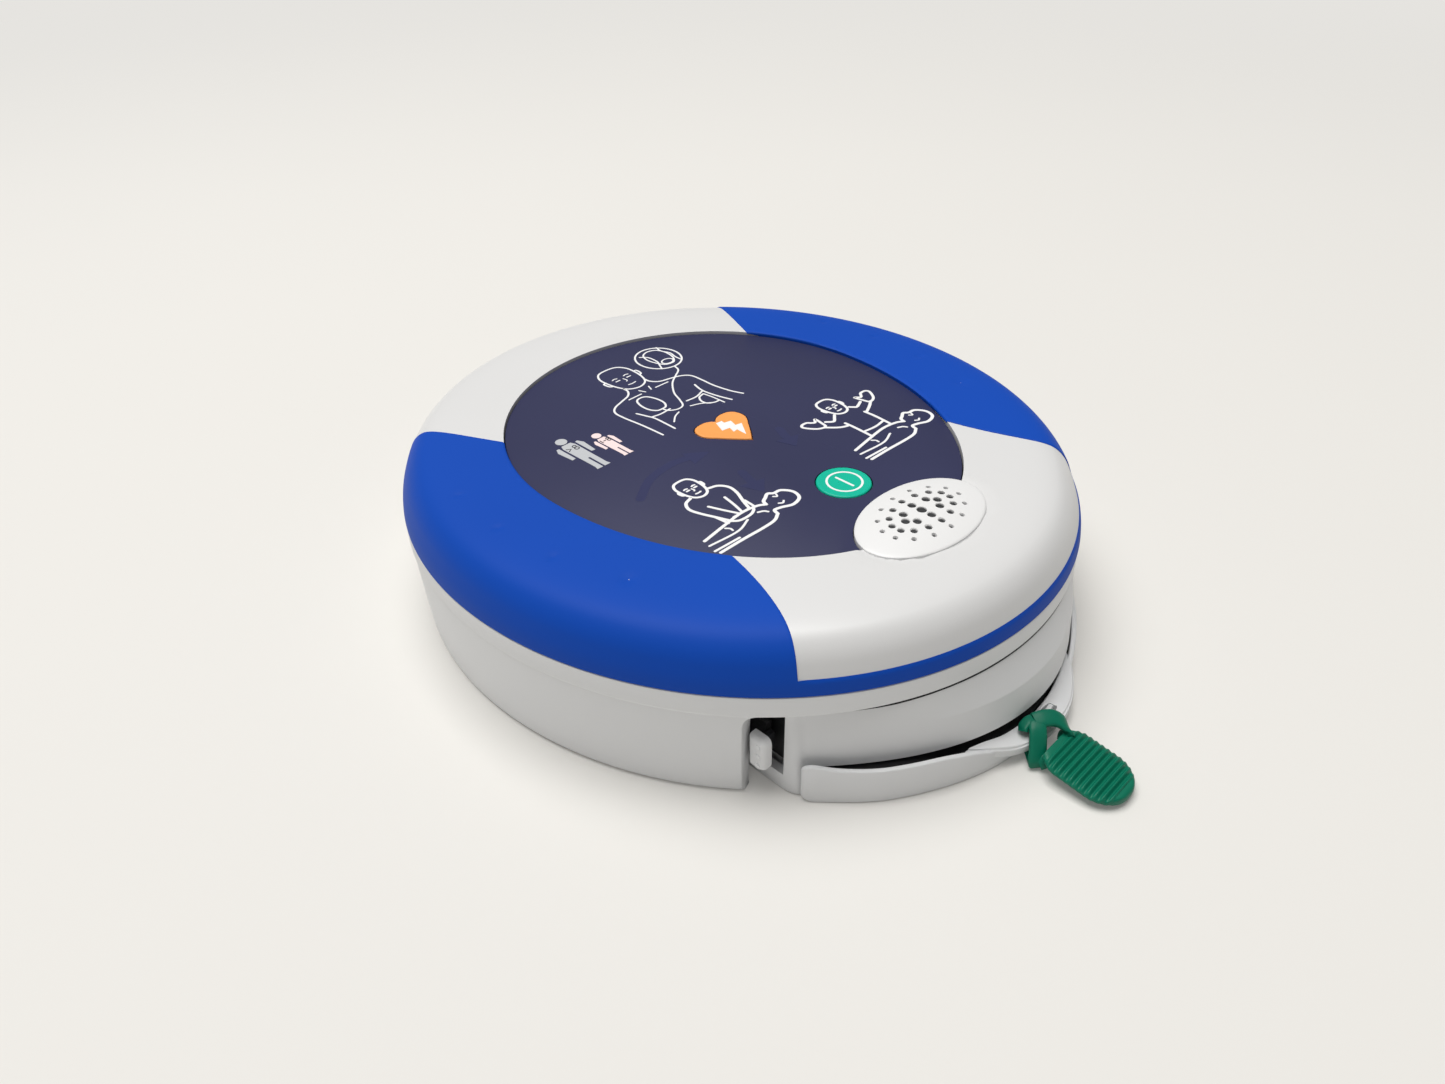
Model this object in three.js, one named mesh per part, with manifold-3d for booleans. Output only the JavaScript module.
// A public-access defibrillator: an oval case with a domed cover, a soft grip, a membrane keypad and a
// slide-out cartridge that holds the battery cells and the electrode drawer.
// Millimetres, +Z up. The origin is on the floor, under the middle of the case. +X is the device's right
// and +Y its top end, so the cartridge slides out towards -Y.

import * as THREE from 'three';
import { mergeVertices } from 'three/addons/utils/BufferGeometryUtils.js';
import Module from 'manifold-3d';

const wasm = await Module();
wasm.setup();

// ---------------------------------------------------------------- driving dimensions

const GAP = 0.3;                    // clearance kept between neighbouring pieces

// case and cover outline, an oval seen from above
const HALF_WIDTH = 92;
const HALF_LENGTH = 101;
const OVAL_Y = -1.7;
const OVAL_SEGMENTS = 48;
const PARTING_Z = 32.65;            // where the cover meets the case
const FLOOR_WALL = 2.4;
const CASE_WALL = 3.2;

// cartridge bay in the case
const BAY_HALF_WIDTH = 60;
const BAY_END_Y = -7;
const BAY_TOP_Z = 26.7;
const BAY_WALL = 2.2;
const ARM_END_Y = -67.2;            // the case arms beside the cartridge end here, at the floor
const ARM_LEAN = 2.6;               // how far an arm's end leans out over its height
const NOTCH_TOP_Z = 26.5;
const NOTCH_RADIUS = 4.5;
const OUTSIDE = 130;                // well outside the part, for cutting solids

// membrane keypad
const EGG_HALF_WIDTH = 59.3;
const EGG_TOP = 61.5;
const EGG_BOTTOM = 76.8;
const EGG_Y = 6;
const MEMBRANE_Z = 46;
const MEMBRANE_THICKNESS = 0.6;
const SHELF_Z = MEMBRANE_Z - MEMBRANE_THICKNESS - GAP;
const PLATE_BOTTOM_Z = 42.7;
const COVER_CUT_Z = [40, 60];       // tall enough to cut through anything in the cover's top

// soft grip
const GRIP_THICKNESS = 1.6;
const STRIP_TOP_Z = 36.6;
const GRIP_PROUD = 0.3;             // how far the grip stands above the cover

// buttons
const POWER = { x: 0, y: -43.3, radius: 7.43 };
const SHOCK = { x: 0, y: -0.5, halfWidth: 8.8, top: 7.2, bottom: 9.6 };
const BUTTON_TOP_Z = MEMBRANE_Z + 0.3;
const FLANGE_Z = [42.9, 43.6];
const FLANGE_RADIUS = 11;
const STEM_BOTTOM_Z = 42.1;

// loudspeaker
const SPEAKER = { x: 0, y: -68.2, a: 21, b: 13.3 };
const GRILLE_EDGE_Z = 46.9;
const GRILLE_TOP_Z = 48.9;
const GRILLE_WALL = 1.5;
const HOLE_RINGS = [
  { count: 1, a: 0, b: 0, radius: 1.15, sides: 12 },
  { count: 8, a: 6.8, b: 3.15, radius: 0.95, sides: 10 },
  { count: 14, a: 10.7, b: 6.2, radius: 0.75, sides: 8 },
  { count: 14, a: 14, b: 9.2, radius: 0.5, sides: 6 },
];

// cartridge
const CART_HALF_WIDTH = 59.3;
const CART_REAR_Y = -8;
const CART_TOP_Z = 26;
const CART_WALL = 2;
const NOSE_Y = -107.4;
const NOSE_CURVE = 0.0087;          // the nose falls back by this times the square of x
const NOSE_SLOPE = 0.6;             // how far the upper bevel runs out for each millimetre down
const CORNER_Y = -76;
const SKIRT_X = 56.9;               // inner face of the side skirts beside the drawer
const DRAWER_BAY_TOP_Z = 9;
const DRAWER_BAY_END_Y = -50;
const BATTERY_BAY = { halfWidth: 53.4, y: [-47.6, -10.2], z: 1.8 };
const LID = {
  halfWidth: 54.2, thickness: 1.6, rearInset: 1.2, shoulderY: -62, setback: 9, curve: 0.0115, corner: 8,
};
const FRONT_HOLLOW = { halfWidth: 53, shoulderY: -61, setback: 11, corner: 8, floorZ: 10.6 };
const PLATE_SEAT = { halfWidth: 14, depth: 3, z: [9, 17] };
const CELL_RADIUS = 8.4;
const CELL_LENGTH = 34.5;
const CELL_PITCH = 17.3;
const CELL_COUNT = 6;
const CELL_Z = 12.6;
const CELL_Y = -29;

// release clips
const POCKET = { depth: 4.6, y: [-75.9, -43], z: [4, 21.5] };
const POCKET_OPEN_Y = -65.5;        // beyond here the pocket is open at its top
const CLIP_LEVER = { x: [57.2, 58.9], y: [-70, -44.5], z: [8.2, 18.5] };   // passes above the drawer's side
const CLIP_PAD = { x: [58, 64.8], y: [-75.6, -69.9], z: [8.2, 20.5], round: 2.4, roundSteps: 5 };

// electrode drawer
const DRAWER_HALF_WIDTH = 56.5;
const DRAWER_REAR_Y = -51;
const DRAWER_NOSE_Y = -110.4;
const DRAWER_CURVE = 0.0078;
const DRAWER_Z = [0.2, 7.8];
const DRAWER_MID_TOP_Z = 6.6;
const DRAWER_WALL = 1.8;
const DRAWER_FRONT_WALL = 6.4;
const DRAWER_SHOULDER_Y = -79;
const DRAWER_FLOOR = 1.4;
const MID_CUT = { halfWidth: 34, rearY: -96 };            // the lowered stretch across the drawer's front
// The front plate stands before the cartridge's nose. Its top edge falls from its ends to the lip.
const FRONT_PLATE = {
  halfWidth: 59.2, thickness: 1.6, proud: 0.1, top: 12.3, round: 1.9,
  edge: [[56.5, 12.3], [53, 11.3], [49, 10.7], [41, 10.5], [33, 10.3], [27, 9.7], [22, 8.2], [19.4, 6]],
};
const TAB_PASSAGE = { halfWidth: 7.5, rearY: -106.2 };    // room for the tab's ring under the lip
const LIP = { halfWidth: 19, frontY: -114.2, rearY: -104.5, radius: 31.8, z: [2.8, 5.8] };
const SLOT = { halfWidth: 5.8, y: [-111.4, -108.4] };

// pull tab
const TAB_PIVOT = { y: -112.7, z: 4.3 };
const TAB_RING = { inner: 2.3, outer: 3.9, x: [-5.5, 1.9] };
const TAB_TONGUE = {
  x: -5.6, halfWidth: 8.4, neck: 3.6, shoulder: 5, length: 24.6, thickness: 3, tilt: 7.5, lift: 0.6,
};

// ---------------------------------------------------------------- materials

function material(color, roughness, metalness = 0) {
  return new THREE.MeshStandardMaterial({ color, roughness, metalness });
}

const FINISH = {
  casePlastic: () => material(0xb6b5b1, 0.45),
  coverPlastic: () => material(0xe6e6e4, 0.4),
  gripRubber: () => material(0x1f4fb8, 0.55),
  membrane: () => material(0x343b58, 0.35),
  powerGreen: () => material(0x17c3a4, 0.4),
  shockOrange: () => material(0xf5a055, 0.4),
  tabGreen: () => material(0x046a4e, 0.5),
  sealRubber: () => material(0x202226, 0.8),
  darkPlastic: () => material(0x2b2d31, 0.5),
  board: () => material(0x1d5a36, 0.5),
  steel: () => material(0xb8bcc2, 0.3, 1),
  gold: () => material(0xd2a84a, 0.25, 1),
  aluminium: () => material(0xa9adb3, 0.35, 1),
  copper: () => material(0xb06a3b, 0.35, 1),
  paper: () => material(0x3a3733, 0.9),
  foil: () => material(0xc9ccd1, 0.3, 1),
  cellWrap: () => material(0x2c6f8f, 0.4),
  gel: () => material(0xd9e6ea, 0.3),
  lead: () => material(0xdad7cf, 0.6),
};

// ---------------------------------------------------------------- solids

// Merges shared vertices, drops collapsed triangles and turns the faces outward.
function solid(geometry) {
  const bare = new THREE.BufferGeometry();
  bare.setAttribute('position', geometry.getAttribute('position').clone());
  if (geometry.index) bare.setIndex(geometry.index.clone());
  const merged = mergeVertices(bare, 1e-4);
  const points = merged.getAttribute('position').array;
  const corners = merged.index.array;
  const kept = [];
  for (let i = 0; i < corners.length; i += 3) {
    const [a, b, c] = [corners[i], corners[i + 1], corners[i + 2]];
    if (a !== b && b !== c && c !== a) kept.push(a, b, c);
  }
  const triangles = signedVolume(points, kept) < 0 ? reversed(kept) : kept;
  return new wasm.Manifold(new wasm.Mesh({
    numProp: 3,
    vertProperties: new Float32Array(points),
    triVerts: new Uint32Array(triangles),
  }));
}

function signedVolume(points, corners) {
  const [a, b, c] = [new THREE.Vector3(), new THREE.Vector3(), new THREE.Vector3()];
  let total = 0;
  for (let i = 0; i < corners.length; i += 3) {
    a.fromArray(points, 3 * corners[i]);
    b.fromArray(points, 3 * corners[i + 1]);
    c.fromArray(points, 3 * corners[i + 2]);
    total += a.dot(b.cross(c)) / 6;
  }
  return total;
}

function reversed(corners) {
  const out = [];
  for (let i = 0; i < corners.length; i += 3) out.push(corners[i], corners[i + 2], corners[i + 1]);
  return out;
}

function union(...solids) {
  return solids.reduce((whole, next) => whole.add(next));
}

function cut(whole, ...tools) {
  return tools.reduce((left, tool) => left.subtract(tool), whole);
}

function common(first, second) {
  return first.intersect(second);
}

function box([x0, x1], [y0, y1], [z0, z1]) {
  const geometry = new THREE.BoxGeometry(x1 - x0, y1 - y0, z1 - z0);
  geometry.translate((x0 + x1) / 2, (y0 + y1) / 2, (z0 + z1) / 2);
  return solid(geometry);
}

// An upright cylinder.
function post(x, y, radius, [z0, z1], segments = 20) {
  const geometry = new THREE.CylinderGeometry(radius, radius, z1 - z0, segments);
  geometry.rotateX(Math.PI / 2);
  geometry.translate(x, y, (z0 + z1) / 2);
  return solid(geometry);
}

// A cylinder that lies along Y.
function rodAlongY(x, z, radius, [y0, y1], segments = 20) {
  const geometry = new THREE.CylinderGeometry(radius, radius, y1 - y0, segments);
  geometry.translate(x, (y0 + y1) / 2, z);
  return solid(geometry);
}

// A turned solid: the profile is a list of [radius, z] that starts and ends on the axis or closes on itself.
function turned(profile, segments, x = 0, y = 0, scaleX = 1, scaleY = 1) {
  const points = profile.map(([r, z]) => new THREE.Vector2(r, z));
  const geometry = new THREE.LatheGeometry(points, segments);
  geometry.rotateX(Math.PI / 2);
  geometry.scale(scaleX, scaleY, 1);
  geometry.translate(x, y, 0);
  return solid(geometry);
}

// A solid with the oval outline of the case: the profile is a list of [inset from the outline, z].
function oval(profile) {
  const scale = HALF_LENGTH / HALF_WIDTH;
  const radii = profile.map(([inset, z]) => [HALF_WIDTH - inset, z]);
  const [first, last] = [radii[0], radii[radii.length - 1]];
  return turned([[0, first[1]], ...radii, [0, last[1]]], OVAL_SEGMENTS, 0, OVAL_Y, 1, scale);
}

// A closed oval ring between two insets.
function ovalRing([outer, inner], [z0, z1]) {
  const big = oval([[outer, z0], [outer, z1]]);
  return cut(big, oval([[inner, z0 - 1], [inner, z1 + 1]]));
}

// An outline in X and Y, raised from z0 to z1.
function raised(shape, [z0, z1], curveSegments = 12) {
  const geometry = new THREE.ExtrudeGeometry(shape, { depth: z1 - z0, bevelEnabled: false, curveSegments });
  geometry.translate(0, 0, z0);
  return solid(geometry);
}

// An outline in Y and Z, run along X from x0 to x1.
function runAlongX(shape, [x0, x1], curveSegments = 8) {
  const geometry = new THREE.ExtrudeGeometry(shape, { depth: x1 - x0, bevelEnabled: false, curveSegments });
  geometry.rotateX(Math.PI / 2);
  geometry.rotateZ(Math.PI / 2);
  geometry.translate(x0, 0, 0);
  return solid(geometry);
}

// An outline in X and Z, run along Y from y0 to y1.
function runAlongY(shape, [y0, y1], curveSegments = 8) {
  const geometry = new THREE.ExtrudeGeometry(shape, { depth: y1 - y0, bevelEnabled: false, curveSegments });
  geometry.rotateX(Math.PI / 2);
  geometry.translate(0, y1, 0);
  return solid(geometry);
}

function mirrored(whole) {
  return whole.mirror([1, 0, 0]);
}

// ---------------------------------------------------------------- outlines

function eggShape(grow = 0) {
  const shape = new THREE.Shape();
  const halfWidth = EGG_HALF_WIDTH + grow;
  shape.absellipse(0, EGG_Y, halfWidth, EGG_TOP + grow, 0, Math.PI, false, 0);
  shape.absellipse(0, EGG_Y, halfWidth, EGG_BOTTOM + grow, Math.PI, 2 * Math.PI, false, 0);
  return shape;
}

function ellipseShape(x, y, a, b) {
  const shape = new THREE.Shape();
  shape.absellipse(x, y, a, b, 0, 2 * Math.PI, false, 0);
  return shape;
}

function circleShape(x, y, radius) {
  return ellipseShape(x, y, radius, radius);
}

// A heart with its point towards -Y.
function heartShape(grow = 0) {
  const w = SHOCK.halfWidth + grow;
  const top = SHOCK.y + SHOCK.top + grow;
  const bottom = SHOCK.y - SHOCK.bottom - 1.4 * grow;
  const notch = top - 0.3 * w;
  const side = top - 0.55 * w;
  const shape = new THREE.Shape();
  shape.moveTo(0, bottom);
  shape.bezierCurveTo(0.45 * w, bottom + 0.55 * w, w, side - 0.45 * w, w, side);
  shape.bezierCurveTo(w, top + 0.02 * w, 0.2 * w, top + 0.12 * w, 0, notch);
  shape.bezierCurveTo(-0.2 * w, top + 0.12 * w, -w, top + 0.02 * w, -w, side);
  shape.bezierCurveTo(-w, side - 0.45 * w, -0.45 * w, bottom + 0.55 * w, 0, bottom);
  return shape;
}

// The plan of one wing of the grip, on the right. Its two ends are the colour boundaries of the cover.
function wingShape(grow = 0) {
  const shape = new THREE.Shape();
  shape.moveTo(40 - grow, 18);
  shape.lineTo(50 - grow, 40 + grow);
  shape.lineTo(60.5 - grow, 63.5 + grow);
  shape.lineTo(75 - grow, 96 + grow);
  shape.lineTo(OUTSIDE, 96 + grow);
  shape.lineTo(OUTSIDE, -110 - grow);
  shape.lineTo(84 - grow, -110 - grow);
  shape.lineTo(58.4 - grow, -79 - grow);
  shape.quadraticCurveTo(48.5 - grow, -66, 44.3 - grow, -44.5);
  shape.lineTo(41 - grow, -25);
  shape.closePath();
  return shape;
}

// Straight sides, rounded shoulders and a nose that is a parabola: y = noseY + curve * x * x.
function nosedShape(halfWidth, rearY, shoulderY, noseY, curve, cornerX) {
  const cornerY = noseY + curve * cornerX ** 2;
  const controlY = 2 * noseY - cornerY;
  const shape = new THREE.Shape();
  shape.moveTo(-halfWidth, rearY);
  shape.lineTo(-halfWidth, shoulderY);
  shape.quadraticCurveTo(-halfWidth, cornerY + 1.6, -cornerX, cornerY);
  shape.quadraticCurveTo(0, controlY, cornerX, cornerY);
  shape.quadraticCurveTo(halfWidth, cornerY + 1.6, halfWidth, shoulderY);
  shape.lineTo(halfWidth, rearY);
  shape.closePath();
  return shape;
}

function cartridgeShape() {
  return nosedShape(CART_HALF_WIDTH, CART_REAR_Y, CORNER_Y, NOSE_Y, NOSE_CURVE, CART_HALF_WIDTH - 2.2);
}

function drawerShape() {
  const cornerX = DRAWER_HALF_WIDTH - 3;
  return nosedShape(DRAWER_HALF_WIDTH, DRAWER_REAR_Y, DRAWER_SHOULDER_Y, DRAWER_NOSE_Y, DRAWER_CURVE, cornerX);
}

// The front plate from above: a strip between two parabolas.
function frontPlateShape() {
  const { halfWidth, thickness, proud } = FRONT_PLATE;
  const noseY = DRAWER_NOSE_Y - proud;
  const endY = noseY + DRAWER_CURVE * halfWidth ** 2;
  const controlY = 2 * noseY - endY;
  const shape = new THREE.Shape();
  shape.moveTo(-halfWidth, endY);
  shape.quadraticCurveTo(0, controlY, halfWidth, endY);
  shape.lineTo(halfWidth, endY + thickness);
  shape.quadraticCurveTo(0, controlY + thickness, -halfWidth, endY + thickness);
  shape.closePath();
  return shape;
}

// The front plate from in front: rounded corners, and a top edge that dips to the lip.
function frontPlateFace() {
  const { halfWidth, top, round } = FRONT_PLATE;
  const edge = FRONT_PLATE.edge.map(([x, z]) => new THREE.Vector2(x, z));
  const farEdge = edge.map(({ x, y }) => new THREE.Vector2(-x, y)).reverse();
  const bottom = DRAWER_Z[0];
  const shape = new THREE.Shape();
  shape.moveTo(-halfWidth + round, bottom);
  shape.lineTo(halfWidth - round, bottom);
  shape.quadraticCurveTo(halfWidth, bottom, halfWidth, bottom + round);
  shape.lineTo(halfWidth, top - round);
  shape.quadraticCurveTo(halfWidth, top, halfWidth - round, top);
  shape.lineTo(edge[0].x, edge[0].y);
  shape.splineThru(edge.slice(1));
  shape.lineTo(farEdge[0].x, farEdge[0].y);
  shape.splineThru(farEdge.slice(1));
  shape.lineTo(-halfWidth + round, top);
  shape.quadraticCurveTo(-halfWidth, top, -halfWidth, top - round);
  shape.lineTo(-halfWidth, bottom + round);
  shape.quadraticCurveTo(-halfWidth, bottom, -halfWidth + round, bottom);
  return shape;
}

// The hollow of the drawer, or with more inset what lies in it.
function drawerHollowShape(inset = 0) {
  const halfWidth = DRAWER_HALF_WIDTH - DRAWER_WALL - inset;
  const noseY = DRAWER_NOSE_Y + DRAWER_FRONT_WALL + inset;
  const rearY = DRAWER_REAR_Y - DRAWER_WALL - inset;
  return nosedShape(halfWidth, rearY, DRAWER_SHOULDER_Y + 1, noseY, DRAWER_CURVE, halfWidth - 3);
}

function lipShape() {
  const centreY = LIP.frontY + LIP.radius;
  const angle = Math.acos(LIP.halfWidth / LIP.radius);
  const shape = new THREE.Shape();
  shape.moveTo(LIP.halfWidth, LIP.rearY);
  shape.lineTo(-LIP.halfWidth, LIP.rearY);
  shape.absarc(0, centreY, LIP.radius, -Math.PI + angle, -angle, false);
  shape.closePath();
  return shape;
}

// ---------------------------------------------------------------- case and cover

const SCREW_PLACES = [[77, -28], [72, 42], [30, 84], [-30, 84], [-72, 42], [-77, -28]];
const SCREW_HEAD = { radius: 2.9, z: [0.5, 2.6] };
const SCREW_SHANK = { radius: 1.5, top: 36 };
const BOSS_RADIUS = 4.2;
const SCREW_HOLE_RADIUS = 1.85;
const HEAD_RECESS = { radius: 3.3, top: 3 };

// The outer wall of the case. It leans in towards the floor and steps out under the parting line.
const CASE_PROFILE = [[2.7, 0], [1.8, 0.5], [1.4, 2], [0.3, 26.2], [0.05, 26.6], [0, PARTING_Z]];

// The outside of the cover, from the parting line over the rounded shoulder to its flat top.
const COVER_PROFILE = [
  [0, PARTING_Z + GAP], [0.25, 34.5], [1.3, 38], [2.5, 41], [3.9, 43.2], [5.9, 45.1], [8.2, 46.1],
  [11.5, 46.6], [20, 46.9], [33, 47.1],
];

// The inside of the cover.
const COVER_INSIDE = [[3.4, 0], [3.6, 34], [5.4, 39.5], [9, 42.6], [33, 43.5]];

function shifted(profile, inset, drop) {
  return profile.map(([x, z]) => [x + inset, z - drop]);
}

function notchShape() {
  const shape = new THREE.Shape();
  shape.moveTo(-OUTSIDE, -1);
  shape.lineTo(ARM_END_Y, -1);
  const topY = ARM_END_Y - ARM_LEAN;
  shape.lineTo(topY, NOTCH_TOP_Z - NOTCH_RADIUS);
  shape.quadraticCurveTo(topY - 0.4, NOTCH_TOP_Z, topY - NOTCH_RADIUS, NOTCH_TOP_Z);
  shape.lineTo(-OUTSIDE, NOTCH_TOP_Z);
  shape.closePath();
  return shape;
}

const CONTACT_WINDOW = { halfWidth: 16, z: [7, 19], blockRearY: 1.5 };
const PORT_WINDOW = { x: [24, 38], z: [8, 17], wall: 2.6, portRearY: 2 };
const BOARD_POSTS = [[-54, 54], [54, 54], [-54, -44], [54, -44]];
const BOARD_THICKNESS = 1.6;
const BOARD_Z = [31.2, 31.2 + BOARD_THICKNESS];
const BOARD_POST_RADIUS = 3;

function rearCase() {
  const bayWallX = BAY_HALF_WIDTH + BAY_WALL;
  const bayWallY = BAY_END_Y + BAY_WALL;
  const cavity = cut(
    oval([[CASE_WALL, FLOOR_WALL], [CASE_WALL, PARTING_Z + 1]]),
    box([-bayWallX, bayWallX], [-OUTSIDE, bayWallY], [0, BAY_TOP_Z + BAY_WALL]),
    box([-OUTSIDE, OUTSIDE], [-OUTSIDE, ARM_END_Y + BAY_WALL], [0, BAY_TOP_Z + BAY_WALL]),
  );
  const tub = cut(
    oval(CASE_PROFILE),
    cavity,
    box([-BAY_HALF_WIDTH, BAY_HALF_WIDTH], [-OUTSIDE, BAY_END_Y], [-1, BAY_TOP_Z]),
    runAlongX(notchShape(), [-OUTSIDE, OUTSIDE]),
  );
  const bosses = SCREW_PLACES.map(([x, y]) => post(x, y, BOSS_RADIUS, [0.6, PARTING_Z - GAP]));
  const postZ = [FLOOR_WALL - 0.5, BOARD_Z[0] - GAP];
  const posts = BOARD_POSTS.map(([x, y]) => post(x, y, BOARD_POST_RADIUS, postZ, 12));
  const bay = box([-BAY_HALF_WIDTH, BAY_HALF_WIDTH], [-OUTSIDE, BAY_END_Y], [-1, BAY_TOP_Z]);
  const holes = SCREW_PLACES.flatMap(([x, y]) => [
    post(x, y, SCREW_HOLE_RADIUS, [-1, PARTING_Z], 16),
    post(x, y, HEAD_RECESS.radius, [-1, HEAD_RECESS.top]),
  ]);
  const wallY = [BAY_END_Y - 1, bayWallY + 1];
  const windows = [
    box([-CONTACT_WINDOW.halfWidth, CONTACT_WINDOW.halfWidth], wallY, CONTACT_WINDOW.z),
    box(PORT_WINDOW.x, wallY, PORT_WINDOW.z),
  ];
  const groove = ovalRing([0.9, 2.4], [PARTING_Z - 1.3, PARTING_Z + 1]);
  return cut(union(tub, ...bosses, ...posts), bay, ...holes, ...windows, groove);
}

function gasketSeal() {
  return ovalRing([1.2, 2.1], [PARTING_Z - 1, PARTING_Z]);
}

function gripRegion(grow = 0) {
  const wing = raised(wingShape(grow), [PARTING_Z - 2, COVER_CUT_Z[1]]);
  const strip = oval([[-5, PARTING_Z - 2], [-5, STRIP_TOP_Z + grow]]);
  return union(wing, mirrored(wing), strip);
}

// Everything that lies more than a depth below the outside of the cover.
function gripBack(depth) {
  return oval([[depth, 0], ...shifted(COVER_PROFILE, depth, depth)]);
}

function gripOvermould() {
  const skin = cut(oval(COVER_PROFILE), gripBack(GRIP_THICKNESS)).intersect(gripRegion());
  return cut(skin, raised(eggShape(GAP), [SHELF_Z - 6, COVER_CUT_Z[1]], 24));
}

const KEYPAD_POSTS = [[-24, 10], [24, 10], [-24, -48], [24, -48]];
const KEYPAD_Z = [38.4, 39.8];
const KEYPAD_BOARD = { halfWidth: 28, y: [-53, 14] };
const LAMP = { x: 14, y: -43.4, radius: 1.2, halfWidth: 1.6, height: 2.2 };

function frontCover() {
  const [low, high] = [PARTING_Z + GAP, COVER_CUT_Z[1]];
  const profile = shifted(COVER_PROFILE, GRIP_PROUD, GRIP_PROUD / 2);
  const outer = oval(profile.map(([x, z]) => [x, Math.max(z, low)]));
  const aboveGripBack = cut(oval([[-5, low - 1], [-5, high]]), gripBack(GRIP_THICKNESS + GAP));
  const gripSeat = aboveGripBack.intersect(gripRegion(GAP));
  const shelf = raised(eggShape(2.5), [PLATE_BOTTOM_Z, SHELF_Z], 24);
  const bosses = SCREW_PLACES.map(([x, y]) => post(x, y, BOSS_RADIUS, [low, 44], 12));
  const posts = KEYPAD_POSTS.map(([x, y]) => post(x, y, 2.2, [KEYPAD_Z[1] + GAP, PLATE_BOTTOM_Z + 0.5], 10));
  const pilots = SCREW_PLACES.map(([x, y]) => post(x, y, SCREW_HOLE_RADIUS, [PARTING_Z, 37.5], 12));
  const flangeRoom = [PLATE_BOTTOM_Z - 1, FLANGE_Z[1] + GAP];
  const solidCover = union(cut(outer, oval(COVER_INSIDE)), shelf, ...bosses, ...posts);
  return cut(
    solidCover.intersect(outer),
    gripSeat,
    raised(eggShape(0), [SHELF_Z, high], 24),
    raised(ellipseShape(SPEAKER.x, SPEAKER.y, SPEAKER.a + GAP, SPEAKER.b + GAP), [SHELF_Z, high], 20),
    raised(ellipseShape(SPEAKER.x, SPEAKER.y, SPEAKER.a - 3, SPEAKER.b - 3), [PLATE_BOTTOM_Z - 5, high]),
    raised(circleShape(POWER.x, POWER.y, POWER.radius + GAP), [PLATE_BOTTOM_Z - 1, high]),
    raised(heartShape(GAP), [PLATE_BOTTOM_Z - 1, high], 8),
    post(POWER.x, POWER.y, FLANGE_RADIUS + 0.5, flangeRoom, 24),
    post(SHOCK.x, SHOCK.y, FLANGE_RADIUS + 0.5, flangeRoom, 24),
    ...pilots,
  );
}

function caseScrew([x, y]) {
  const { radius, z: [low, high] } = SCREW_HEAD;
  const profile = [
    [0, low], [radius, low], [radius, high], [SCREW_SHANK.radius, high], [SCREW_SHANK.radius, SCREW_SHANK.top],
    [0, SCREW_SHANK.top],
  ];
  return turned(profile, 16, x, y);
}

// ---------------------------------------------------------------- keypad and buttons

function membraneOverlay() {
  const sheet = raised(eggShape(-GAP), [MEMBRANE_Z - MEMBRANE_THICKNESS, MEMBRANE_Z], 24);
  return cut(
    sheet,
    raised(ellipseShape(SPEAKER.x, SPEAKER.y, SPEAKER.a + GAP, SPEAKER.b + GAP), COVER_CUT_Z, 20),
    raised(circleShape(POWER.x, POWER.y, POWER.radius + GAP), COVER_CUT_Z),
    raised(heartShape(GAP), COVER_CUT_Z),
  );
}

function button(outline, x, y) {
  return union(
    raised(outline, [FLANGE_Z[1] - 0.1, BUTTON_TOP_Z]),
    post(x, y, FLANGE_RADIUS, FLANGE_Z, 28),
    post(x, y, 2.5, [STEM_BOTTOM_Z, FLANGE_Z[0] + 0.1], 12),
  );
}

function keypadBoard() {
  return box([-KEYPAD_BOARD.halfWidth, KEYPAD_BOARD.halfWidth], KEYPAD_BOARD.y, KEYPAD_Z);
}

function tactSwitch(x, y) {
  const base = KEYPAD_Z[1] + GAP;
  const plunger = post(x, y, 1.7, [base + 0.5, base + 1.2], 12);
  return union(box([x - 3, x + 3], [y - 3, y + 3], [base, base + 0.8]), plunger);
}

function statusLamp() {
  const base = KEYPAD_Z[1] + GAP;
  const { x, y, radius, halfWidth, height } = LAMP;
  const body = box([x - halfWidth, x + halfWidth], [y - halfWidth, y + halfWidth], [base, base + 0.8]);
  return union(body, post(x, y, radius, [base + 0.6, base + height], 12));
}

// ---------------------------------------------------------------- loudspeaker

function grilleDome(wall) {
  const steps = 4;
  const profile = [];
  for (let i = 0; i <= steps; i += 1) {
    const r = 1 - i / steps;
    const rise = (GRILLE_TOP_Z - GRILLE_EDGE_Z) * (1 - r * r);
    profile.push([r * (1 - wall / SPEAKER.a), GRILLE_EDGE_Z - wall + rise]);
  }
  const edge = profile[0][0];
  const bottom = SHELF_Z + GAP - (wall > 0 ? 1 : 0);
  return turned([[0, bottom], [edge, bottom], ...profile], 36, SPEAKER.x, SPEAKER.y, SPEAKER.a, SPEAKER.b);
}

function speakerGrille() {
  const shell = cut(grilleDome(0), grilleDome(GRILLE_WALL));
  const holes = HOLE_RINGS.flatMap(({ count, a, b, radius, sides }) => {
    const ring = [];
    for (let i = 0; i < count; i += 1) {
      const angle = Math.PI / 2 + (2 * Math.PI * i) / count;
      const [x, y] = [SPEAKER.x + a * Math.cos(angle), SPEAKER.y + b * Math.sin(angle)];
      ring.push(post(x, y, radius, COVER_CUT_Z, sides));
    }
    return ring;
  });
  return cut(shell, ...holes);
}

function speakerFrame() {
  const profile = [
    [9.2, 36.2], [12.6, 40.4], [12.6, 42.4], [10.9, 42.4], [10.9, 41], [8.6, 38], [8.6, 36.2], [9.2, 36.2],
  ];
  return turned(profile, 32, SPEAKER.x, SPEAKER.y);
}

function speakerMagnet() {
  return turned([[0, 31.4], [8.2, 31.4], [8.2, 35.9], [0, 35.9]], 28, SPEAKER.x, SPEAKER.y);
}

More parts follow.
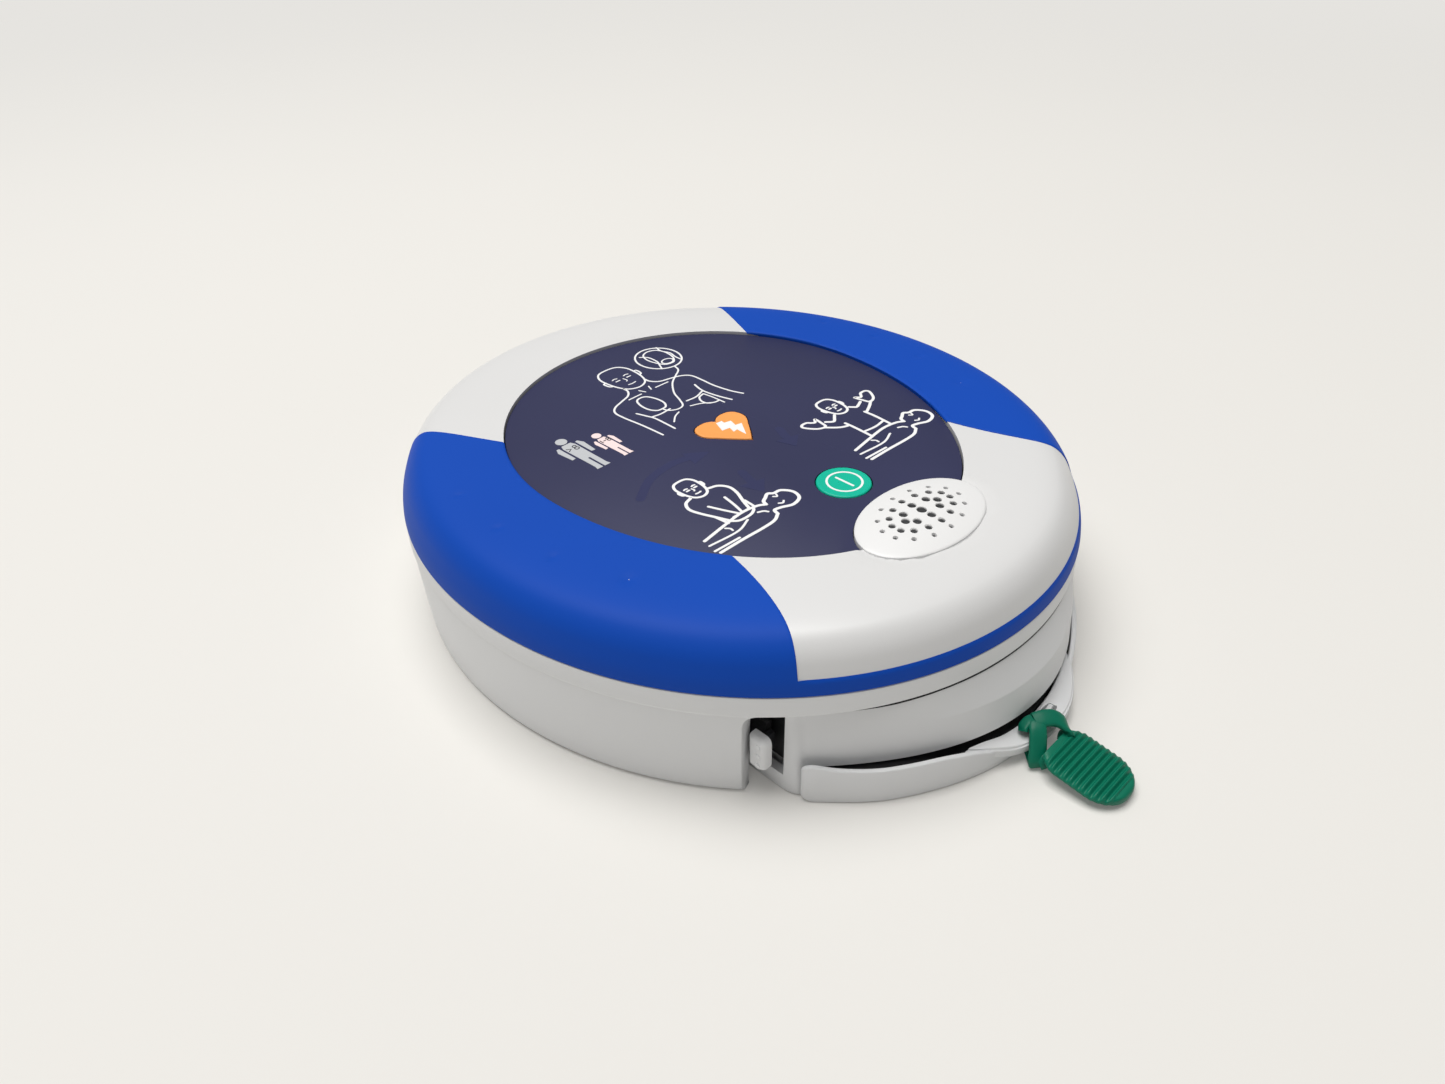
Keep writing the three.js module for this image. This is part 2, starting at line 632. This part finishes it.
function speakerCone() {
  const profile = [
    [0, 37.9], [2.4, 37.2], [8, 39], [10.6, 41.7], [10.6, 42.2], [7.8, 39.6], [2.4, 37.8], [0, 38.5],
  ];
  return turned(profile, 32, SPEAKER.x, SPEAKER.y);
}

// ---------------------------------------------------------------- electronics in the case

const MAIN_BOARD = { halfWidth: 60, y: [-50, 62], chamfer: 14 };
const CAPACITOR = { radius: 12.5, halfLength: 36, rim: 1.2, y: 64, z: 16.4 };
const TRANSFORMER = { core: [[-64, -28], [8, 36], [4, 28]], winding: [[-60, -32], [4, 40], [7, 25]] };
const INDUCTOR = { y: 24, z: 8, ring: 10.5, wire: 4.6 };
const RELAY = { can: [[30, 58], [6, 28], [10, 30]], foot: [[32, 56], [8, 26]] };
const MODULE = { x: [29, 61], y: [33, 37], z: [7, 29], finY: 44, finPitch: 5.6, finWidth: 1.6, fins: 6 };

function mainBoard() {
  const { halfWidth, y: [front, rear], chamfer } = MAIN_BOARD;
  const shape = new THREE.Shape();
  shape.moveTo(-halfWidth, front);
  shape.lineTo(halfWidth, front);
  shape.lineTo(halfWidth, rear - chamfer);
  shape.lineTo(halfWidth - chamfer, rear);
  shape.lineTo(chamfer - halfWidth, rear);
  shape.lineTo(-halfWidth, rear - chamfer);
  shape.closePath();
  return raised(shape, BOARD_Z);
}

function hvCapacitor() {
  const { radius, halfLength, rim, y, z: axisZ } = CAPACITOR;
  const profile = [
    [0, -halfLength], [radius - rim, -halfLength], [radius, -halfLength + rim], [radius, halfLength - 5],
    [radius - 0.8, halfLength - 4.2], [radius, halfLength - 3.4], [radius, halfLength], [0, halfLength],
  ];
  const points = profile.map(([r, z]) => new THREE.Vector2(r, z));
  const geometry = new THREE.LatheGeometry(points, 28);
  geometry.rotateZ(Math.PI / 2);
  geometry.translate(0, y, axisZ);
  return solid(geometry);
}

function transformer() {
  return union(box(...TRANSFORMER.core), box(...TRANSFORMER.winding));
}

function inductor() {
  const { y, z, ring, wire } = INDUCTOR;
  const profile = [];
  const steps = 12;
  for (let i = 0; i <= steps; i += 1) {
    const angle = (2 * Math.PI * i) / steps;
    profile.push([ring + wire * Math.cos(angle), z + wire * Math.sin(angle)]);
  }
  return turned(profile, 28, 0, y);
}

function relay() {
  return union(box(...RELAY.can), box(...RELAY.foot, [RELAY.can[2][1] - 0.1, BOARD_Z[0] - GAP]));
}

function dischargeModule() {
  const { x, y, z, finY, finPitch, finWidth, fins } = MODULE;
  const fin = (i) => {
    const left = x[0] + 1 + finPitch * i;
    return box([left, left + finWidth], [y[1] - 0.5, finY], z);
  };
  return union(box(x, y, z), ...[...Array(fins).keys()].map(fin));
}

const PIN_XS = [-9, -3, 3, 9];
const PIN_Z = 13;
const PIN_RADIUS = 1.1;
const PIN_Y = [-8.6, -1];

function contactBlock() {
  const halfWidth = CONTACT_WINDOW.halfWidth - GAP;
  const [low, high] = CONTACT_WINDOW.z;
  const blockY = [BAY_END_Y + GAP, CONTACT_WINDOW.blockRearY];
  const block = box([-halfWidth, halfWidth], blockY, [low + GAP, high - GAP]);
  const holes = PIN_XS.map((x) => rodAlongY(x, PIN_Z, PIN_RADIUS + GAP, [-10, PIN_Y[1] + GAP], 14));
  return cut(block, ...holes);
}

function contactPin(x) {
  return rodAlongY(x, PIN_Z, PIN_RADIUS, PIN_Y, 14);
}

function dataPort() {
  const [x0, x1] = [PORT_WINDOW.x[0] + GAP, PORT_WINDOW.x[1] - GAP];
  const [z0, z1] = [PORT_WINDOW.z[0] + GAP, PORT_WINDOW.z[1] - GAP];
  const { wall, portRearY } = PORT_WINDOW;
  const body = box([x0, x1], [BAY_END_Y + GAP, portRearY], [z0, z1]);
  return cut(body, box([x0 + wall, x1 - wall], [BAY_END_Y - 1, portRearY - 3], [z0 + wall, z1 - wall]));
}

// ---------------------------------------------------------------- cartridge

const LID_SCREW_PLACES = [[-50, -54], [50, -54], [-32, -83], [32, -83]];
const LID_BOSS_RADIUS = 3.4;
const LID_HOLE_RADIUS = 1.5;
const LID_HEAD_RADIUS = 2.2;

function pocketCut() {
  const x = [CART_HALF_WIDTH - POCKET.depth, OUTSIDE];
  const lever = box(x, [POCKET.y[0], POCKET.y[1]], POCKET.z);
  const open = box(x, [POCKET.y[0], POCKET_OPEN_Y], [POCKET.z[0], CART_TOP_Z + 1]);
  return union(lever, open);
}

// The outer form of the cartridge: its plan, cut by a bevel that runs from the case's outline.
function cartridgeBody() {
  const bevel = oval([[-NOSE_SLOPE * (CART_TOP_Z + 1), -1], [0, CART_TOP_Z]]);
  return raised(cartridgeShape(), [0, CART_TOP_Z], 20).intersect(bevel);
}

function cartridgeShell() {
  const { halfWidth, y, z } = BATTERY_BAY;
  const pocket = pocketCut();
  const lidSeat = raised(lidShape(0), [CART_TOP_Z - LID.thickness - GAP, CART_TOP_Z + 1]);
  const front = raised(frontHollowShape(), [FRONT_HOLLOW.floorZ, CART_TOP_Z + 1]);
  const bosses = LID_SCREW_PLACES.map(([x, bossY]) => (
    post(x, bossY, LID_BOSS_RADIUS, [DRAWER_BAY_TOP_Z + 1, CART_TOP_Z - LID.thickness - 2 * GAP], 16)
  ));
  const pilotZ = [DRAWER_BAY_TOP_Z + 4, CART_TOP_Z];
  const pilots = LID_SCREW_PLACES.map(([x, bossY]) => post(x, bossY, LID_HOLE_RADIUS, pilotZ, 12));
  const plateY = [CART_REAR_Y - PLATE_SEAT.depth, CART_REAR_Y + 1];
  const plateSeat = box([-PLATE_SEAT.halfWidth, PLATE_SEAT.halfWidth], plateY, PLATE_SEAT.z);
  const hollowed = cut(
    cartridgeBody(),
    box([-halfWidth, halfWidth], y, [z, CART_TOP_Z + 1]),
    front,
    lidSeat,
    pocket,
    mirrored(pocket),
    box([-SKIRT_X, SKIRT_X], [-OUTSIDE, DRAWER_BAY_END_Y], [-1, DRAWER_BAY_TOP_Z]),
    plateSeat,
  );
  return cut(union(hollowed, ...bosses), ...pilots);
}

function lidShape(inset) {
  const halfWidth = LID.halfWidth - inset;
  const [rearY, noseY] = [CART_REAR_Y - LID.rearInset - inset, NOSE_Y + LID.setback + inset];
  return nosedShape(halfWidth, rearY, LID.shoulderY, noseY, LID.curve, halfWidth - LID.corner);
}

function frontHollowShape() {
  const { halfWidth, shoulderY, setback, corner } = FRONT_HOLLOW;
  return nosedShape(halfWidth, DRAWER_BAY_END_Y, shoulderY, NOSE_Y + setback, LID.curve, halfWidth - corner);
}

function cartridgeLid() {
  const lid = raised(lidShape(GAP), [CART_TOP_Z - LID.thickness, CART_TOP_Z]);
  const holes = LID_SCREW_PLACES.flatMap(([x, y]) => [
    post(x, y, LID_HOLE_RADIUS, [CART_TOP_Z - 3, CART_TOP_Z + 1], 12),
    post(x, y, LID_HEAD_RADIUS + GAP, [CART_TOP_Z - 0.9, CART_TOP_Z + 1], 16),
  ]);
  return cut(lid, ...holes);
}

function lidScrew([x, y]) {
  const top = CART_TOP_Z - 0.05;
  const [head, shank, length] = [LID_HEAD_RADIUS, LID_HOLE_RADIUS - 0.35, 9];
  const [foot, neck] = [top - length, top - 0.5];
  return turned([[0, foot], [shank, foot], [shank, neck], [head, neck], [head, top], [0, top]], 14, x, y);
}

function cellPlace(index) {
  return (index - (CELL_COUNT - 1) / 2) * CELL_PITCH;
}

function batteryCell(index) {
  const half = CELL_LENGTH / 2;
  const capRadius = 3;
  const profile = [
    [0, -half], [CELL_RADIUS, -half], [CELL_RADIUS, half - 1.2], [capRadius, half - 1.2], [capRadius, half], [0, half],
  ];
  const points = profile.map(([r, along]) => new THREE.Vector2(r, along));
  const geometry = new THREE.LatheGeometry(points, 24);
  if (index % 2 === 1) geometry.rotateZ(Math.PI);
  geometry.translate(cellPlace(index), CELL_Y, CELL_Z);
  return solid(geometry);
}

function cellHolder() {
  const { halfWidth, y, z } = BATTERY_BAY;
  const cradle = box([-halfWidth + GAP, halfWidth - GAP], [y[0] + 2, y[1] - 2], [z + GAP, 7]);
  const grooves = [...Array(CELL_COUNT).keys()].map((i) => (
    rodAlongY(cellPlace(i), CELL_Z, CELL_RADIUS + GAP, [-OUTSIDE, 0], 24)
  ));
  return cut(cradle, ...grooves);
}

function contactPlate() {
  const halfWidth = PLATE_SEAT.halfWidth - GAP;
  const [low, high] = PLATE_SEAT.z;
  return box([-halfWidth, halfWidth], [CART_REAR_Y - 1.8, CART_REAR_Y - 0.9], [low + GAP, high - GAP]);
}

function cartridgeBoard() {
  const bottom = FRONT_HOLLOW.floorZ + GAP;
  const [x, y, z] = [[-27, 27], [-79, -58], [bottom, bottom + BOARD_THICKNESS]];
  const chips = [
    box([-20, -8], [-76, -64], [z[1] - 0.1, z[1] + 2]),
    box([4, 22], [-74, -66], [z[1] - 0.1, z[1] + 5]),
  ];
  return union(box(x, y, z), ...chips);
}

function roundedRectangle([x0, x1], [y0, y1], r) {
  const shape = new THREE.Shape();
  shape.moveTo(x0 + r, y0);
  shape.lineTo(x1 - r, y0);
  shape.absarc(x1 - r, y0 + r, r, -Math.PI / 2, 0, false);
  shape.lineTo(x1, y1 - r);
  shape.absarc(x1 - r, y1 - r, r, 0, Math.PI / 2, false);
  shape.lineTo(x0 + r, y1);
  shape.absarc(x0 + r, y1 - r, r, Math.PI / 2, Math.PI, false);
  shape.lineTo(x0, y0 + r);
  shape.absarc(x0 + r, y0 + r, r, Math.PI, 1.5 * Math.PI, false);
  return shape;
}

// The right-hand clip: a thin lever along the cartridge's side and a finger pad in the notch.
function releaseClip() {
  const lever = box(CLIP_LEVER.x, CLIP_LEVER.y, CLIP_LEVER.z);
  const { x, y, z, round, roundSteps } = CLIP_PAD;
  const pad = runAlongX(roundedRectangle(y, z, round), x, roundSteps);
  return union(lever, pad);
}

// ---------------------------------------------------------------- electrode drawer

const FOIL_Z = [6, 6.3];
const PAD = { x: [[-44, -2], [2, 44]], y: [-85, -54], z: [2, 3.8], round: 8 };

function drawerTray() {
  const [z0, z1] = DRAWER_Z;
  const outer = raised(drawerShape(), DRAWER_Z, 16);
  const passageX = [-TAB_PASSAGE.halfWidth, TAB_PASSAGE.halfWidth];
  const passage = box(passageX, [-OUTSIDE, TAB_PASSAGE.rearY], [z0 - 1, LIP.z[0]]);
  const trimmed = cut(
    outer,
    raised(drawerHollowShape(), [z0 + DRAWER_FLOOR, z1 + 1], 12),
    box([-MID_CUT.halfWidth, MID_CUT.halfWidth], [-OUTSIDE, MID_CUT.rearY], [DRAWER_MID_TOP_Z, z1 + 1]),
    passage,
  );
  const plate = common(
    raised(frontPlateShape(), [z0, FRONT_PLATE.top + 1], 24),
    runAlongY(frontPlateFace(), [-OUTSIDE, -OUTSIDE / 2], 4),
  );
  const lip = raised(lipShape(), LIP.z, 16);
  const slot = box([-SLOT.halfWidth, SLOT.halfWidth], SLOT.y, [z0, z1 + 1]);
  return cut(union(trimmed, cut(plate, passage), lip), slot);
}

function foilLid() {
  return raised(drawerHollowShape(GAP), FOIL_Z, 12);
}

function electrodePad([x0, x1]) {
  return raised(roundedRectangle([x0, x1], PAD.y, PAD.round), PAD.z, 6);
}

// The lead of the electrodes, laid in three runs across the tray above the pads.
function electrodeLead() {
  const [half, radius, z] = [30, 0.8, 4.9];
  const points = [
    [-half, -60], [half, -60], [half + 6, -66], [half, -72], [-half, -72], [-half - 6, -78], [-half, -84],
    [half, -84],
  ];
  const route = points.map(([x, y]) => new THREE.Vector3(x, y, z));
  const extrudePath = new THREE.CatmullRomCurve3(route, false, 'chordal');
  const section = new THREE.Shape();
  section.absarc(0, 0, radius, 0, 2 * Math.PI, false);
  const settings = { steps: 40, bevelEnabled: false, extrudePath, curveSegments: 2 };
  return solid(new THREE.ExtrudeGeometry(section, settings));
}

// ---------------------------------------------------------------- pull tab

function pullTab() {
  const { y, z } = TAB_PIVOT;
  const ringShape = new THREE.Shape();
  ringShape.absarc(y, z, TAB_RING.outer, 0, 2 * Math.PI, false);
  const holeShape = new THREE.Shape();
  holeShape.absarc(y, z, TAB_RING.inner, 0, 2 * Math.PI, false);
  const ring = cut(
    runAlongX(ringShape, TAB_RING.x, 12),
    runAlongX(holeShape, [TAB_RING.x[0] - 1, TAB_RING.x[1] + 1], 12),
  );
  return union(ring, tongue(y, z));
}

function tongue(pivotY, pivotZ) {
  const { x, halfWidth, neck, shoulder, length, thickness, tilt, lift } = TAB_TONGUE;
  const start = -TAB_RING.inner - 0.9;
  const shape = new THREE.Shape();
  shape.moveTo(-neck, start);
  shape.lineTo(-halfWidth, start - shoulder);
  shape.lineTo(-halfWidth, -length + halfWidth - 1);
  shape.absellipse(0, -length + halfWidth - 1, halfWidth, halfWidth - 1, -Math.PI, 0, false, 0);
  shape.lineTo(halfWidth, start - shoulder);
  shape.lineTo(neck, start);
  shape.closePath();
  const geometry = new THREE.ExtrudeGeometry(shape, { depth: thickness, bevelEnabled: false, curveSegments: 10 });
  geometry.translate(0, 0, -thickness / 2);
  geometry.rotateX(THREE.MathUtils.degToRad(tilt));
  geometry.translate(x, pivotY, pivotZ + lift);
  return solid(geometry);
}

// ---------------------------------------------------------------- assembly

const part = new THREE.Group();

function add(name, whole, finish) {
  const { numProp, vertProperties, triVerts } = whole.getMesh();
  const geometry = new THREE.BufferGeometry();
  const positions = new Float32Array((vertProperties.length / numProp) * 3);
  for (let i = 0; i < positions.length / 3; i += 1) {
    for (let k = 0; k < 3; k += 1) positions[3 * i + k] = vertProperties[numProp * i + k];
  }
  geometry.setAttribute('position', new THREE.BufferAttribute(positions, 3));
  geometry.setIndex(new THREE.BufferAttribute(new Uint32Array(triVerts), 1));
  geometry.computeVertexNormals();
  const mesh = new THREE.Mesh(geometry, finish());
  mesh.name = name;
  part.add(mesh);
}

add('rear_case', rearCase(), FINISH.casePlastic);
add('front_cover', frontCover(), FINISH.coverPlastic);
add('grip_overmould', gripOvermould(), FINISH.gripRubber);
add('gasket_seal', gasketSeal(), FINISH.sealRubber);
SCREW_PLACES.forEach((place, i) => add(`case_screw_${i + 1}`, caseScrew(place), FINISH.steel));

add('membrane_overlay', membraneOverlay(), FINISH.membrane);
add('power_button', button(circleShape(POWER.x, POWER.y, POWER.radius), POWER.x, POWER.y), FINISH.powerGreen);
add('shock_button', button(heartShape(), SHOCK.x, SHOCK.y), FINISH.shockOrange);
add('keypad_board', keypadBoard(), FINISH.board);
add('power_switch', tactSwitch(POWER.x, POWER.y), FINISH.darkPlastic);
add('shock_switch', tactSwitch(SHOCK.x, SHOCK.y), FINISH.darkPlastic);
add('status_lamp', statusLamp(), FINISH.gel);

add('speaker_grille', speakerGrille(), FINISH.coverPlastic);
add('speaker_frame', speakerFrame(), FINISH.steel);
add('speaker_magnet', speakerMagnet(), FINISH.darkPlastic);
add('speaker_cone', speakerCone(), FINISH.paper);

add('main_board', mainBoard(), FINISH.board);
add('hv_capacitor', hvCapacitor(), FINISH.aluminium);
add('transformer', transformer(), FINISH.copper);
add('inductor', inductor(), FINISH.copper);
add('discharge_relay', relay(), FINISH.darkPlastic);
add('discharge_module', dischargeModule(), FINISH.aluminium);
add('contact_block', contactBlock(), FINISH.darkPlastic);
PIN_XS.forEach((x, i) => add(`contact_pin_${i + 1}`, contactPin(x), FINISH.gold));
add('data_port', dataPort(), FINISH.darkPlastic);

add('cartridge_shell', cartridgeShell(), FINISH.casePlastic);
add('cartridge_lid', cartridgeLid(), FINISH.casePlastic);
LID_SCREW_PLACES.forEach((place, i) => add(`lid_screw_${i + 1}`, lidScrew(place), FINISH.steel));
[...Array(CELL_COUNT).keys()].forEach((i) => add(`battery_cell_${i + 1}`, batteryCell(i), FINISH.cellWrap));
add('cell_holder', cellHolder(), FINISH.darkPlastic);
add('contact_plate', contactPlate(), FINISH.gold);
add('cartridge_board', cartridgeBoard(), FINISH.board);
add('release_clip_right', releaseClip(), FINISH.casePlastic);
add('release_clip_left', mirrored(releaseClip()), FINISH.casePlastic);

add('drawer_tray', drawerTray(), FINISH.casePlastic);
add('foil_lid', foilLid(), FINISH.foil);
PAD.x.forEach((x, i) => add(`electrode_pad_${i + 1}`, electrodePad(x), FINISH.gel));
add('electrode_lead', electrodeLead(), FINISH.lead);
add('pull_tab', pullTab(), FINISH.tabGreen);

export default part;
